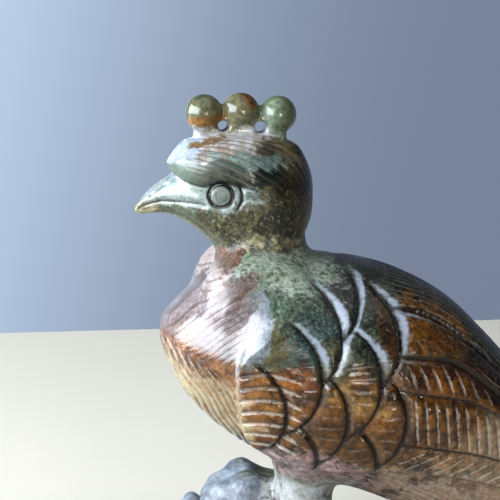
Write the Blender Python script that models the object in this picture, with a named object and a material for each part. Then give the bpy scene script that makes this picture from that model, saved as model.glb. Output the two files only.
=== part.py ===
# Jasper peacock on a rock, carved from one stone.
# Metres, +Z up, beak towards -X, tail towards +X. The origin is the middle of the flat underside of the rock.

from math import pi

import bmesh
import bpy
import numpy as np
from mathutils import Matrix, Vector
from mathutils.bvhtree import BVHTree

# Driving dimensions, in metres
MM = 0.001
BIRD_LENGTH = 100 * MM
ROCK_LENGTH = 86 * MM
ROCK_WIDTH = 38 * MM
ROCK_HEIGHT = 8 * MM
LEG_HEIGHT = 10 * MM
LEG_LENGTH = 9.4 * MM
LEG_WIDTH = 14 * MM
CREST_BALL_DIAMETER = 6 * MM
CREST_HOLE_DIAMETER = 2.1 * MM
WING_THICKNESS = 1.1 * MM
FEATHER_DEPTH = 0.9 * MM
FEATHER_SPACING = 9.1 * MM
TAIL_FEATHER_DEPTH = 0.6 * MM
EYE_DIAMETER = 3.6 * MM
GROOVE_WIDTH = 0.55 * MM

# The bird is a free form. Its outline and the places of its carving are in percent of its length,
# and its heights are measured with the belly, where the legs meet it, at BELLY percent.
PERCENT = BIRD_LENGTH / 100
BELLY = 18
LIFT = ROCK_HEIGHT + LEG_HEIGHT - BELLY * PERCENT

# How finely the stone is cut
VOXEL = 0.5 * MM
TRIANGLES = 8000

# Body and tail, front to back: x, top, bottom, half width
BODY = (
    (-41.5, 45.4, 44.6, 0.5),
    (-40.9, 47.3, 42.2, 5.0),
    (-39.2, 49.5, 38.2, 9.0),
    (-36.2, 52.1, 33.6, 12.7),
    (-31.0, 55.9, 28.8, 15.6),
    (-25.0, 58.0, 24.8, 17.2),
    (-18.0, 57.3, 20.8, 18.0),
    (-10.0, 56.4, 18.5, 18.0),
    (-2.0, 54.0, 15.0, 17.4),
    (6.0, 49.4, 10.2, 16.2),
    (14.0, 41.2, 7.0, 15.0),
    (22.0, 32.2, 6.2, 13.8),
    (32.0, 23.6, 5.8, 13.2),
    (41.0, 17.8, 5.8, 13.2),
    (47.0, 15.2, 6.2, 11.8),
    (51.5, 13.4, 6.8, 8.8),
    (54.0, 12.2, 7.8, 5.0),
    (54.8, 11.2, 8.8, 1.6),
)

# Head and neck, crown down: height, front, back, half width
HEAD = (
    (76.4, -30.0, -27.0, 0.3),
    (76.1, -34.0, -23.0, 3.0),
    (75.0, -37.4, -19.6, 5.2),
    (72.6, -39.2, -17.9, 6.9),
    (69.5, -38.9, -16.9, 7.8),
    (66.0, -37.0, -16.8, 8.0),
    (62.5, -34.6, -17.2, 7.6),
    (59.5, -32.4, -18.1, 7.2),
    (56.0, -32.4, -15.0, 8.8),
    (50.0, -33.0, -8.0, 11.0),
)

# Beak, face and throat, tip first: x, top, bottom, half width
BEAK = (
    (-45.2, 65.0, 64.4, 0.3),
    (-44.4, 66.3, 64.1, 0.9),
    (-42.7, 68.1, 64.2, 1.7),
    (-40.8, 69.5, 64.2, 2.6),
    (-38.8, 70.6, 63.7, 3.7),
    (-36.4, 71.2, 62.2, 5.2),
    (-33.6, 71.2, 59.9, 6.4),
    (-30.0, 71.0, 57.0, 7.0),
    (-26.0, 70.0, 56.0, 6.6),
)

# Swelling at each side of the neck: place and reach, in x, y and height, and how square it is
SHOULDER = (-27.0, 7.0, 45.0)
SHOULDER_REACH = (9.2, 7.7, 13.9)
SHOULDER_POWER = 2.6

# Centres of the crest balls: x, height. The web between them: middle and size in height
CREST = ((-34.1, 79.9), (-28.3, 80.1), (-22.4, 79.6))
WEB_HEIGHT = (76.6, 5.2)
HOLE_DROP = 2.2

# Middle of the legs, and how far they run up into the belly
LEG_X = -17.9
LEG_IN_BELLY = 8

# Boulders of the rock as shares of its half length, half width and height: x, y, reach x, reach y, top
BOULDERS = (
    (0.0, 0.0, 0.86, 0.80, 1.0),
    (-0.68, 0.05, 0.30, 0.72, 1.05),
    (-0.61, 0.44, 0.19, 0.40, 2.35),
    (-0.80, 0.30, 0.13, 0.40, 1.75),
    (-0.44, 0.05, 0.22, 0.62, 1.30),
    (-0.86, -0.30, 0.13, 0.42, 1.15),
    (-0.25, -0.70, 0.20, 0.28, 1.05),
    (0.12, -0.66, 0.22, 0.32, 0.85),
    (-0.05, 0.68, 0.24, 0.30, 1.10),
    (0.42, 0.62, 0.24, 0.36, 1.15),
    (0.48, -0.60, 0.24, 0.38, 1.10),
    (0.80, 0.10, 0.19, 0.70, 1.05),
)


def curve_through(stations, per_span):
    """A smooth line through the stations (rows of numbers), with per_span points for each step."""
    rows = np.array(stations, float)
    padded = np.vstack([2 * rows[0] - rows[1], rows, 2 * rows[-1] - rows[-2]])
    t = np.linspace(0, 1, per_span, endpoint=False)[:, None]
    spans = []
    for i in range(1, len(padded) - 2):
        p0, p1, p2, p3 = padded[i - 1 : i + 3]
        bend = 2 * p0 - 5 * p1 + 4 * p2 - p3 + t * (3 * (p1 - p2) + p3 - p0)
        spans.append(p1 + 0.5 * t * (p2 - p0 + t * bend))
    return np.vstack([*spans, rows[-1:]])


def at(stations, x, column):
    """One column of the stations, read at any x."""
    rows = curve_through(stations, 8)
    order = np.argsort(rows[:, 0])
    return np.interp(x, rows[order, 0], rows[order, column])


def step(low, high, value):
    """0 below low, 1 above high, smooth between them."""
    t = np.clip((value - low) / (high - low), 0, 1)
    return t * t * (3 - 2 * t)


def rounded_ring(sides, power):
    """Unit ring of points (across, up), squarer as power grows past 2."""
    turn = np.linspace(0, 2 * pi, sides, endpoint=False)
    across, up = np.sin(turn), np.cos(turn)
    return np.sign(across) * abs(across) ** (2 / power), np.sign(up) * abs(up) ** (2 / power)


def add_rings(bm, rings):
    """Closed skin over rings of points, each end filled with a fan."""
    rows = [[bm.verts.new(p) for p in ring] for ring in rings]
    count = len(rows[0])
    for a, b in zip(rows, rows[1:]):
        for i in range(count):
            j = (i + 1) % count
            bm.faces.new((a[i], a[j], b[j], b[i]))
    for row in (rows[0], rows[-1]):
        middle = bm.verts.new(np.mean([v.co for v in row], axis=0))
        for i in range(count):
            bm.faces.new((row[i], row[(i + 1) % count], middle))


def on_bird(x, y, z):
    """A point given in percent of the bird's length, in metres."""
    return np.column_stack(np.broadcast_arrays(x, y, z)) * PERCENT + (0, 0, LIFT)


def add_bird(bm):
    across, up = rounded_ring(48, 2.1)
    for stations, per_span in ((BODY, 5), (BEAK, 4)):
        rings = []
        for x, top, bottom, half in curve_through(stations, per_span):
            rings.append(on_bird(x, across * half, (top + bottom) / 2 + up * (top - bottom) / 2))
        add_rings(bm, rings)
    rings = []
    for z, front, back, half in curve_through(HEAD, 4):
        rings.append(on_bird((front + back) / 2 + up * (back - front) / 2, across * half, z))
    add_rings(bm, rings)


def squared(way, power):
    """A direction stretched to the skin of a rounded box, squarer as power grows past 2."""
    return way / np.sum(abs(way) ** power) ** (1 / power)


def add_shoulders(bm):
    x, y, z = SHOULDER
    for side in (-1, 1):
        middle = on_bird(x, side * y, z)[0]
        made = bmesh.ops.create_icosphere(bm, subdivisions=4, radius=1)
        for vert in made["verts"]:
            way = squared(np.array(vert.co), SHOULDER_POWER)
            vert.co = middle + way * np.array(SHOULDER_REACH) * PERCENT


def add_crest(bm):
    for x, z in CREST:
        place = Matrix.Translation(on_bird(x, 0, z)[0])
        radius = CREST_BALL_DIAMETER / 2
        bmesh.ops.create_uvsphere(bm, u_segments=24, v_segments=16, radius=radius, matrix=place)
    first, last = CREST[0][0], CREST[-1][0]
    middle, tall = WEB_HEIGHT
    size = Matrix.Diagonal(((last - first + 2) * PERCENT, 0.62 * CREST_BALL_DIAMETER, tall * PERCENT, 1))
    place = Matrix.Translation(on_bird((first + last) / 2, 0, middle)[0])
    bmesh.ops.create_cube(bm, size=1, matrix=place @ size)


def add_legs(bm):
    """Two legs side by side, wider where they meet the rock and the belly."""
    across, up = rounded_ring(24, 2.4)
    x = LEG_X * PERCENT
    foot = ROCK_HEIGHT - 2 * MM
    top = ROCK_HEIGHT + LEG_HEIGHT + LEG_IN_BELLY * PERCENT
    rings = []
    for share in np.linspace(0, 1, 13):
        flare = 1 + 0.45 * abs(2 * share - 0.9) ** 3
        waist = 1 - 0.16 * np.exp(-((across / 0.3) ** 2))
        along = x + up * waist * flare * LEG_LENGTH / 2
        sideways = across * flare * LEG_WIDTH / 2
        rings.append(np.column_stack([along, sideways, np.full(24, foot + share * (top - foot))]))
    add_rings(bm, rings)


def add_rock(bm):
    for number, (x, y, reach_x, reach_y, top) in enumerate(BOULDERS):
        made = bmesh.ops.create_icosphere(bm, subdivisions=3, radius=1)
        size = np.array((reach_x * ROCK_LENGTH / 2, reach_y * ROCK_WIDTH / 2, top * ROCK_HEIGHT))
        middle = np.array((x * ROCK_LENGTH / 2, y * ROCK_WIDTH / 2, 0))
        for vert in made["verts"]:
            way = np.array(vert.co)
            lumps = 0.06 * np.sin(7 * way[0] + number) + 0.05 * np.sin(6 * way[1] + 2 * number)
            place = middle + squared(way, 4) * (1 + lumps + 0.04 * np.sin(9 * way[2] + number)) * size
            vert.co = (place[0], place[1], max(place[2], -1 * MM))


# Edges between the flight feathers, upper first: x, height
FLIGHT_EDGES = (
    ((-12, 50.9), (-6.7, 49.3), (-1.8, 47.1), (3.2, 44.3), (10, 38.6), (18, 31.0), (26, 25.2)),
    ((-12, 44.6), (-6, 43.7), (-2.3, 43.1), (2.8, 42.0), (8, 38.4), (16, 31.4), (26, 24.0)),
    ((-12, 40.2), (-6.9, 39.0), (-3.2, 38.0), (2, 36.9), (7.4, 35.0), (14, 30.4), (26, 21.8)),
    ((-12, 31.0), (-3.1, 29.8), (2.3, 28.8), (7.8, 27.4), (14, 25.0), (22, 21.4), (30, 17.8)),
    ((-12, 25.4), (-3.1, 25.0), (2.3, 24.2), (7.8, 22.8), (14, 20.6), (22, 17.4), (31, 14.4)),
)
FLIGHT_TIPS = (20.5, 24.5, 28.0, 31.0)

# Front edge of the wing: height, x. Brow over the eye: x, height
WING_FRONT = ((26, -22.0), (29, -28.0), (33, -30.2), (38, -31.0), (44, -31.0), (50, -29.0), (54, -25.0))
BROW = ((-41, 71.6), (-39.4, 71.0), (-37.3, 69.8), (-34.6, 69.2), (-32.2, 70.0), (-29, 69.3), (-24, 68.0))

# Eye, mouth and nostril: x, height
EYE = (-32.2, 67.7)
MOUTH = ((-44.0, 65.4), (-43.0, 65.9), (-41.1, 66.4), (-38.3, 66.4), (-35.6, 66.3), (-33.8, 66.0))
NOSTRIL = ((-42.6, 67.2), (-41.4, 68.4), (-40.2, 69.0))

# Rows of covert feathers on the wing: height of the row, x of its first tip, radius. Feathers in each row
COVERT_ROWS = ((52.4, -11.9, 7.6), (46.6, -15, 8.6), (40.4, -18.1, 9.4), (34.9, -23.2, 9.6), (26.1, -18, 9.6))
COVERTS_IN_ROW = (1, 2, 2, 3, 2)
ROW_FALL = 0.6

# A covert's edge is cut at its back and runs out above, between these degrees from the level
COVERT_EDGE = (46, 72)

# Rows of train feathers on the tail: x of the tips, feathers in each row
TRAIN_TIPS = (21.0, 28.0, 35.0, 42.0, 48.0, 53.0)
TRAIN_IN_ROW = (3, 4, 5, 4, 5, 4)
TRAIN_SPACING = 8.0
TRAIN_LENGTH = 26.0
TRAIN_WIDTH = 10.4

# The train covers the tail between these degrees from its top, and begins on the back at these x
TRAIN_SIDE = (95, 115)
TRAIN_START = (9, 15)


def read(line, value):
    """Second number of a line of pairs, read smoothly at any first number."""
    rows = curve_through(line, 6)
    return np.interp(value, rows[:, 0], rows[:, 1])


def coverts(x, z):
    """Round feathers of the wing, front ones first: how far each point lies outside, how deep the edge is."""
    tips = []
    for (height, first, radius), count in zip(COVERT_ROWS, COVERTS_IN_ROW):
        for i in range(count):
            tips.append((first + i * FEATHER_SPACING / PERCENT, height - ROW_FALL * i, radius))
    level, steep = COVERT_EDGE
    shapes = []
    for tip_x, tip_z, radius in sorted(tips):
        dx, dz = x - tip_x + radius, z - tip_z
        shapes.append((np.hypot(dx, dz) - radius, step(steep, level, np.degrees(np.arctan2(dz, dx)))))
    return shapes


def flights(x, z):
    """Long feathers of the wing, upper ones first."""
    shapes = []
    for upper, lower, tip in zip(FLIGHT_EDGES, FLIGHT_EDGES[1:], FLIGHT_TIPS):
        top, bottom = read(upper, x), read(lower, x)
        rounding = np.sqrt(np.clip(1 - ((x - tip + 9) / 9) ** 2, 0, 1))
        half = (top - bottom) / 2 * np.where(x < tip - 9, 1, rounding)
        away = np.maximum(abs(z - (top + bottom) / 2) - half, 0.5 * (x - tip))
        shapes.append((away, 0.8 * (z < (top + bottom) / 2)))
    return shapes


def train(x, around):
    """Long feathers of the tail in staggered rows, front ones first."""
    shapes = []
    long, wide = TRAIN_LENGTH / 2, TRAIN_WIDTH / 2
    for tip, count in zip(TRAIN_TIPS, TRAIN_IN_ROW):
        for i in range(count):
            middle = (i - (count - 1) / 2) * TRAIN_SPACING
            away = np.hypot((x - tip + long) / long, (around - middle) / wide) - 1
            shapes.append((away * wide, np.full(x.shape, 0.8)))
    return shapes


def tiled(shapes, reach):
    """Relief of feathers that cover each other like tiles, and where each point is covered by one."""
    height = np.zeros(shapes[0][0].shape)
    seen = np.zeros(height.shape, bool)
    valley = np.zeros(height.shape)
    for away, depth in shapes:
        inside = (away < 0) & ~seen
        height = np.where(inside, -0.3 * depth * step(-0.8, 0, away) - valley, height)
        seen |= inside
        valley = np.maximum(valley, np.where(away > 0, depth * np.exp(-np.maximum(away, 0) / reach), 0))
    return np.where(seen, height, -valley), seen


def relief(points):
    """Height of the carving over the smooth form at each point, in metres."""
    x = points[:, 0] / PERCENT
    y = points[:, 1] / PERCENT
    z = (points[:, 2] - LIFT) / PERCENT
    half, top, bottom = at(BODY, x, 3), at(BODY, x, 1), at(BODY, x, 2)
    turn = np.arctan2(y / half, (z - (top + bottom) / 2) / ((top - bottom) / 2))

    wing_shapes = coverts(x, z) + flights(x, z)
    wing, _ = tiled(wing_shapes, 1.5)
    _, in_flights = tiled(flights(x, z), 1.5)
    edge = step(0, 2.4, x - read(tuple(WING_FRONT), z)) * step(-0.4, 0.6, z - read(FLIGHT_EDGES[-1], x))
    plate = edge * (1 + (in_flights - 1) * step(5, 15, x)) * step(0.05, 0.75, abs(np.sin(turn)))
    on_wing = plate * step(59.5, 56.5, z) * (z > 12)
    height = on_wing * (WING_THICKNESS + FEATHER_DEPTH * wing)

    tail, _ = tiled(train(x, turn * half), 1.3)
    top_side, under_side = TRAIN_SIDE
    on_tail = step(*TRAIN_START, x) * (1 - step(0, 0.3, plate))
    on_tail *= step(under_side, top_side, abs(np.degrees(turn)))
    height += TAIL_FEATHER_DEPTH * on_tail * tail * (z > ROCK_HEIGHT / PERCENT)

    over_brow = z - read(BROW, x)
    brow = step(0, 0.6, over_brow) * np.exp(-np.maximum(over_brow, 0) / 2.5) * step(-22, -28, x)
    return height + 0.6 * PERCENT * brow * (z > 66) * (abs(y) > 1.5)


def smoothed(values, edges, amount, passes):
    """Values at the corners of the skin, each drawn towards the mean of its neighbours."""
    count = len(values)
    degree = np.bincount(edges.ravel(), minlength=count)
    for _ in range(passes):
        for k in range(values.shape[1]):
            column = values[:, k]
            total = np.bincount(edges[:, 0], column[edges[:, 1]], count)
            total += np.bincount(edges[:, 1], column[edges[:, 0]], count)
            values[:, k] += amount * (total / degree - column)
    return values


def roundness(points):
    """How much each point is smoothed: most in the inner corners at the neck and the legs."""
    x = points[:, 0] / PERCENT
    z = (points[:, 2] - LIFT) / PERCENT
    neck = step(44, 52, z) * step(64, 61, z) * step(-41, -38, x) * step(-6, -10, x)
    legs = step(25, 20, z) * step(-34, -30, x) * step(-4, -9, x)
    return 0.6 * np.clip(0.06 + neck + 0.6 * legs, 0, 1)


def drop_bubbles(mesh):
    """Leaves only the largest shell: fusing can close a tiny bubble inside the stone."""
    bm = bmesh.new()
    bm.from_mesh(mesh)
    left = set(bm.verts)
    shells = []
    while left:
        shell = {left.pop()}
        front = shell
        while front:
            front = {edge.other_vert(vert) for vert in front for edge in vert.link_edges} - shell
            shell |= front
        left -= shell
        shells.append(shell)
    largest = max(shells, key=len)
    bmesh.ops.delete(bm, geom=[vert for vert in bm.verts if vert not in largest], context="VERTS")
    bm.to_mesh(mesh)
    bm.free()


def carve(mesh):
    """Smooths the fused skin, then raises the feathers on it."""
    count = len(mesh.vertices)
    edges = np.empty(len(mesh.edges) * 2, int)
    mesh.edges.foreach_get("vertices", edges)
    edges = edges.reshape(-1, 2)
    points = np.empty(count * 3)
    mesh.vertices.foreach_get("co", points)
    points = points.reshape(-1, 3)
    points = smoothed(points, edges, roundness(points), 30)
    mesh.vertices.foreach_set("co", points.ravel())
    mesh.update()
    normals = np.empty(count * 3)
    mesh.vertices.foreach_get("normal", normals)
    height = smoothed(relief(points)[:, None], edges, 0.5, 2)
    mesh.vertices.foreach_set("co", (points + normals.reshape(-1, 3) * height).ravel())
    mesh.update()


def new_object(name, bm):
    mesh = bpy.data.meshes.new(name)
    bm.to_mesh(mesh)
    bm.free()
    made = bpy.data.objects.new(name, mesh)
    bpy.context.scene.collection.objects.link(made)
    return made


def tube(bm, path, radius):
    """Closed round tube along a path of points."""
    path = np.array(path)
    turn = np.linspace(0, 2 * pi, 8, endpoint=False)
    rings = []
    for i, point in enumerate(path):
        ahead = path[min(i + 1, len(path) - 1)] - path[max(i - 1, 0)]
        ahead /= np.linalg.norm(ahead)
        side = np.cross(ahead, (0, 0, 1))
        side /= np.linalg.norm(side)
        rise = np.cross(side, ahead)
        rings.append(point + radius * (np.outer(np.cos(turn), side) + np.outer(np.sin(turn), rise)))
    add_rings(bm, rings)


def add_ring_tube(bm, middle, flat, ring_radius, radius):
    """Closed ring of round tube lying in the plane of the given axes."""
    rows = []
    for turn in np.linspace(0, 2 * pi, 24, endpoint=False):
        out = flat @ Vector((np.cos(turn), np.sin(turn), 0))
        rise = flat @ Vector((0, 0, 1))
        row = []
        for bend in np.linspace(0, 2 * pi, 8, endpoint=False):
            outward = out * (ring_radius + radius * np.cos(bend))
            row.append(bm.verts.new(middle + outward + rise * radius * np.sin(bend)))
        rows.append(row)
    for a, b in zip(rows, rows[1:] + rows[:1]):
        for i in range(8):
            j = (i + 1) % 8
            bm.faces.new((a[i], a[j], b[j], b[i]))


def skin_point(tree, x, z, side):
    """Point of the skin at x and height, seen from one side, and the way it faces there."""
    start = on_bird(x, side * 40, z)[0]
    place, normal, _, _ = tree.ray_cast(start, (0, -side, 0))
    return place, normal


def cutters(tree):
    """All that is cut from the finished skin: crest holes, eye rings, mouth, nostrils and underside."""
    bm = bmesh.new()
    for (x0, z0), (x1, z1) in zip(CREST, CREST[1:]):
        middle = on_bird((x0 + x1) / 2, 0, (z0 + z1) / 2 - HOLE_DROP)[0]
        place = Matrix.Translation(middle) @ Matrix.Rotation(pi / 2, 4, "X")
        radius = CREST_HOLE_DIAMETER / 2
        bmesh.ops.create_cone(
            bm, cap_ends=True, segments=20, radius1=radius, radius2=radius, depth=20 * PERCENT, matrix=place
        )
    for side in (-1, 1):
        place, normal = skin_point(tree, *EYE, side)
        flat = normal.to_track_quat("Z", "Y").to_matrix()
        add_ring_tube(bm, place, flat, EYE_DIAMETER / 2, GROOVE_WIDTH / 2)
        for line in (MOUTH, NOSTRIL):
            path = []
            for x, z in curve_through(line, 3):
                place, _ = skin_point(tree, x, z, side)
                path.append(place)
            tube(bm, path, GROOVE_WIDTH / 2)
    wide = BIRD_LENGTH * 3
    size = Matrix.Diagonal((wide, wide, 40 * MM, 1))
    bmesh.ops.create_cube(bm, size=1, matrix=Matrix.Translation((0, 0, -20 * MM)) @ size)
    bmesh.ops.recalc_face_normals(bm, faces=bm.faces)
    cutter = new_object("cutters", bm)
    cutter.hide_render = True
    cutter.display_type = "WIRE"
    return cutter


def jasper():
    """Polished jasper, grey-green to honey brown."""
    material = bpy.data.materials.new("jasper")
    material.use_nodes = True
    shader = material.node_tree.nodes["Principled BSDF"]
    shader.inputs["Base Color"].default_value = (0.23, 0.17, 0.10, 1)
    shader.inputs["Roughness"].default_value = 0.15
    shader.inputs["Metallic"].default_value = 0
    return material


def main():
    for old in list(bpy.data.objects):
        bpy.data.objects.remove(old)
    bm = bmesh.new()
    add_bird(bm)
    add_shoulders(bm)
    add_crest(bm)
    add_legs(bm)
    add_rock(bm)
    bmesh.ops.recalc_face_normals(bm, faces=bm.faces)
    carving = new_object("peacock_carving", bm)
    carving.data.materials.append(jasper())
    fuse = carving.modifiers.new("Fuse", "REMESH")
    fuse.mode = "VOXEL"
    fuse.voxel_size = VOXEL
    fused = bpy.data.meshes.new_from_object(carving.evaluated_get(bpy.context.evaluated_depsgraph_get()))
    carving.modifiers.clear()
    carving.data = fused
    drop_bubbles(fused)
    carve(fused)
    thin = carving.modifiers.new("Thin", "DECIMATE")
    thin.ratio = TRIANGLES / (2 * len(fused.polygons))
    tree = BVHTree.FromObject(carving, bpy.context.evaluated_depsgraph_get())
    cut = carving.modifiers.new("Cut", "BOOLEAN")
    cut.operation = "DIFFERENCE"
    cut.solver = "EXACT"
    cut.object = cutters(tree)
    return carving


if __name__ == "__main__":
    main()
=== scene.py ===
from math import radians

import bmesh
import bpy
import numpy as np
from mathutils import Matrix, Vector


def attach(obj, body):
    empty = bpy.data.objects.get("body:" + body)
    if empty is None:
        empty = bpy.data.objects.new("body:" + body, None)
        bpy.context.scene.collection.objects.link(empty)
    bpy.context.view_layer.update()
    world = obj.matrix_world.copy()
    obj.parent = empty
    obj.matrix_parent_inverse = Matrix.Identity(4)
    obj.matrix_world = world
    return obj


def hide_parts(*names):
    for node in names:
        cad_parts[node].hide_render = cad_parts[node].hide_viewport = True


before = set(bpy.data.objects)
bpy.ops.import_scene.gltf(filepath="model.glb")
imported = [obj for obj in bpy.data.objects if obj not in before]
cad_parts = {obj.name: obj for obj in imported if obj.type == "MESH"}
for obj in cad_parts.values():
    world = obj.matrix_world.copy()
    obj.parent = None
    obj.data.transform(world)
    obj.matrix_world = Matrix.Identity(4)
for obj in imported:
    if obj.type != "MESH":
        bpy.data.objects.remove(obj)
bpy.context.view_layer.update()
mm = 0.001

# Sizes are in mm, +X towards the tail, +Z up, with the table at height 0

bird = {
    # front to back: x, top, bottom, half width
    "body": (
        (-41.5, 45.4, 44.6, 0.5), (-40.9, 47.3, 42.2, 5.0), (-39.2, 49.5, 38.2, 9.0),
        (-36.2, 52.1, 33.6, 12.7), (-31.0, 55.9, 28.8, 15.6), (-25.0, 58.0, 24.8, 17.2),
        (-18.0, 57.3, 20.8, 18.0), (-10.0, 56.4, 18.5, 18.0), (-2.0, 54.0, 15.0, 17.4),
        (6.0, 49.4, 10.2, 16.2), (14.0, 41.2, 7.0, 15.0), (22.0, 32.2, 6.2, 13.8),
        (32.0, 23.6, 5.8, 13.2), (41.0, 17.8, 5.8, 13.2), (47.0, 15.2, 6.2, 11.8),
        (51.5, 13.4, 6.8, 8.8), (54.0, 12.2, 7.8, 5.0), (54.8, 11.2, 8.8, 1.6),
    ),
    # crown down: height, front, back, half width
    "head": (
        (76.4, -30.0, -27.0, 0.3), (76.1, -34.0, -23.0, 3.0), (75.0, -37.4, -19.6, 5.2),
        (72.6, -39.2, -17.9, 6.9), (69.5, -38.9, -16.9, 7.8), (66.0, -37.0, -16.8, 8.0),
        (62.5, -34.6, -17.2, 7.6), (59.5, -32.4, -18.1, 7.2), (56.0, -32.4, -15.0, 8.8),
        (50.0, -33.0, -8.0, 11.0),
    ),
    # tip first: x, top, bottom, half width
    "beak": (
        (-45.2, 65.0, 64.4, 0.3), (-44.4, 66.3, 64.1, 0.9), (-42.7, 68.1, 64.2, 1.7),
        (-40.8, 69.5, 64.2, 2.6), (-38.8, 70.6, 63.7, 3.7), (-36.4, 71.2, 62.2, 5.2),
        (-33.6, 71.2, 59.9, 6.4), (-30.0, 71.0, 57.0, 7.0), (-26.0, 70.0, 56.0, 6.6),
    ),
}
shoulder = {"place": (-27.0, 7.0, 45.0), "reach": (9.2, 7.7, 13.9), "power": 2.6}
crest = {
    "balls": ((-34.1, 79.9), (-28.3, 80.1), (-22.4, 79.6)), "radius": 3.0,
    "hole": 2.1, "holeDrop": 2.2, "drill": 16.0,
    "web": 3.7, "webHeight": 76.6, "webReach": 2.7, "webPastBalls": 1.3,
}
legs = {
    "x": -17.9, "foot": 6.0, "top": 26.0, "length": 9.4, "width": 14.0,
    "flare": 0.45, "waist": 0.16,  # shares of the width
}
rock = {
    "length": 86.0, "width": 38.0, "height": 8.0, "crag": 0.5,
    # x, y, reach x, reach y, top, as shares of the half length, half width and height
    "boulders": (
        (0.0, 0.0, 0.86, 0.80, 1.0), (-0.68, 0.05, 0.30, 0.72, 1.05), (-0.61, 0.44, 0.19, 0.40, 2.35),
        (-0.80, 0.30, 0.13, 0.40, 1.75), (-0.44, 0.05, 0.22, 0.62, 1.30), (-0.86, -0.30, 0.13, 0.42, 1.15),
        (-0.25, -0.70, 0.20, 0.28, 1.05), (0.12, -0.66, 0.22, 0.32, 0.85), (-0.05, 0.68, 0.24, 0.30, 1.10),
        (0.42, 0.62, 0.24, 0.36, 1.15), (0.48, -0.60, 0.24, 0.38, 1.10), (0.80, 0.10, 0.19, 0.70, 1.05),
    ),
    "lumps": ((5.0, 1.4), (2.0, 0.5), (0.9, 0.25)),  # size and strength, the first folded into crags
}


def smoothLine(stations, perSpan):
    # Catmull-Rom line: each span is a cubic through its two stations, bent by their neighbours
    rows = np.array(stations, float)
    padded = np.vstack([2 * rows[0] - rows[1], rows, 2 * rows[-1] - rows[-2]])
    p0, p1, p2, p3 = (padded[i : len(padded) - 3 + i, None] for i in range(4))
    t = np.linspace(0, 1, perSpan, endpoint=False)[None, :, None]
    bend = 2 * p0 - 5 * p1 + 4 * p2 - p3 + t * (3 * (p1 - p2) + p3 - p0)
    line = p1 + 0.5 * t * (p2 - p0 + t * bend)
    return np.vstack([line.reshape(-1, rows.shape[1]), rows[-1:]])


def readLine(stations, value, column=1):
    # one column of the smooth line, read where its first column has the given value
    rows = smoothLine(stations, 8)
    return np.interp(value, rows[:, 0], rows[:, column])


def ramp(low, high, value):
    # 0 at low, 1 at high, a cubic with level ends between them
    t = np.clip((value - low) / (high - low), 0, 1)
    return t * t * (3 - 2 * t)


def bell(away, width):
    # 1 where away is 0, falling on both sides as the exponential of minus its square
    return np.exp(-((away / width) ** 2))


def roundedRing(count, power):
    # superellipse: sine and cosine, each raised to 2 / power with its sign kept
    turn = np.linspace(0, 2 * np.pi, count, endpoint=False)
    across, up = np.sin(turn), np.cos(turn)
    return np.sign(across) * abs(across) ** (2 / power), np.sign(up) * abs(up) ** (2 / power)


def closedSkin(grid):
    # grid of rings by points: quads between rings, and each end ring closed by a fan to its middle
    rings, ring = grid.shape[:2]
    points = np.vstack([grid.reshape(-1, 3), grid[0].mean(0), grid[-1].mean(0)])
    here = np.arange(rings * ring).reshape(rings, ring)
    beside = np.roll(here, -1, axis=1)
    quads = np.stack([here[:-1], here[1:], beside[1:], beside[:-1]], axis=-1).reshape(-1, 4)
    first = np.stack([here[0], beside[0], np.full(ring, rings * ring)], axis=-1)
    last = np.stack([beside[-1], here[-1], np.full(ring, rings * ring + 1)], axis=-1)
    return points, quads.tolist() + first.tolist() + last.tolist()


def crosswiseSkin(stations, perSpan, count, power):
    # upright rings: x from the station, y and height round a superellipse between top and bottom
    line = smoothLine(stations, perSpan)[:, None, :]
    across, up = roundedRing(count, power)
    middle, reach = (line[..., 1] + line[..., 2]) / 2, (line[..., 1] - line[..., 2]) / 2
    x, y, z = line[..., 0] + 0 * up, line[..., 3] * across, middle + reach * up
    return closedSkin(np.stack([x, y, z], axis=-1))


def levelSkin(stations, perSpan, count, power):
    # level rings: height from the station, x between front and back, y to the half width
    line = smoothLine(stations, perSpan)[:, None, :]
    across, along = roundedRing(count, power)
    middle, reach = (line[..., 1] + line[..., 2]) / 2, (line[..., 2] - line[..., 1]) / 2
    x, y, z = middle + reach * along, line[..., 3] * across, line[..., 0] + 0 * along
    return closedSkin(np.stack([x, y, z], axis=-1))


def ballSkin(middle, reach, rows=17, count=32, power=2.0, lump=0.0, seed=0):
    # superellipsoid: a sphere of latitude and turn, nearer to a box as power grows, with sine lumps
    latitude = np.linspace(0, np.pi, rows)[1:-1, None]
    turn = np.linspace(0, 2 * np.pi, count, endpoint=False)[None, :]
    level = np.sin(latitude)
    way = np.stack([level * np.cos(turn), level * np.sin(turn), np.cos(latitude) + 0 * turn], -1)
    size = (abs(way) ** power).sum(-1, keepdims=True) ** (1 / power)
    waves = 1.2 * np.sin(7 * way[..., :1] + seed) + np.sin(6 * way[..., 1:2] + 2 * seed)
    waves = waves + 0.8 * np.sin(9 * way[..., 2:] + seed)
    return closedSkin(np.array(middle) + way / size * (1 + lump * waves) * np.array(reach))


def shoulderSkins():
    # a full superellipsoid at each side of the neck
    x, y, z = shoulder["place"]
    return [ballSkin((x, side * y, z), shoulder["reach"], 41, 64, shoulder["power"]) for side in (-1, 1)]


def legsSkin():
    # a profile carried upwards: its width swells by a cube to both ends, and a waist parts the two legs
    share = np.linspace(0, 1, 15)[:, None]
    across, along = roundedRing(32, 2.4)
    flare = 1 + legs["flare"] * abs(2 * share - 0.9) ** 3
    waist = 1 - legs["waist"] * bell(across, 0.3)
    height = legs["foot"] + share * (legs["top"] - legs["foot"]) + 0 * across
    x = legs["x"] + along * waist * flare * legs["length"] / 2
    return closedSkin(np.stack([x, across * flare * legs["width"] / 2, height], axis=-1))


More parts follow.
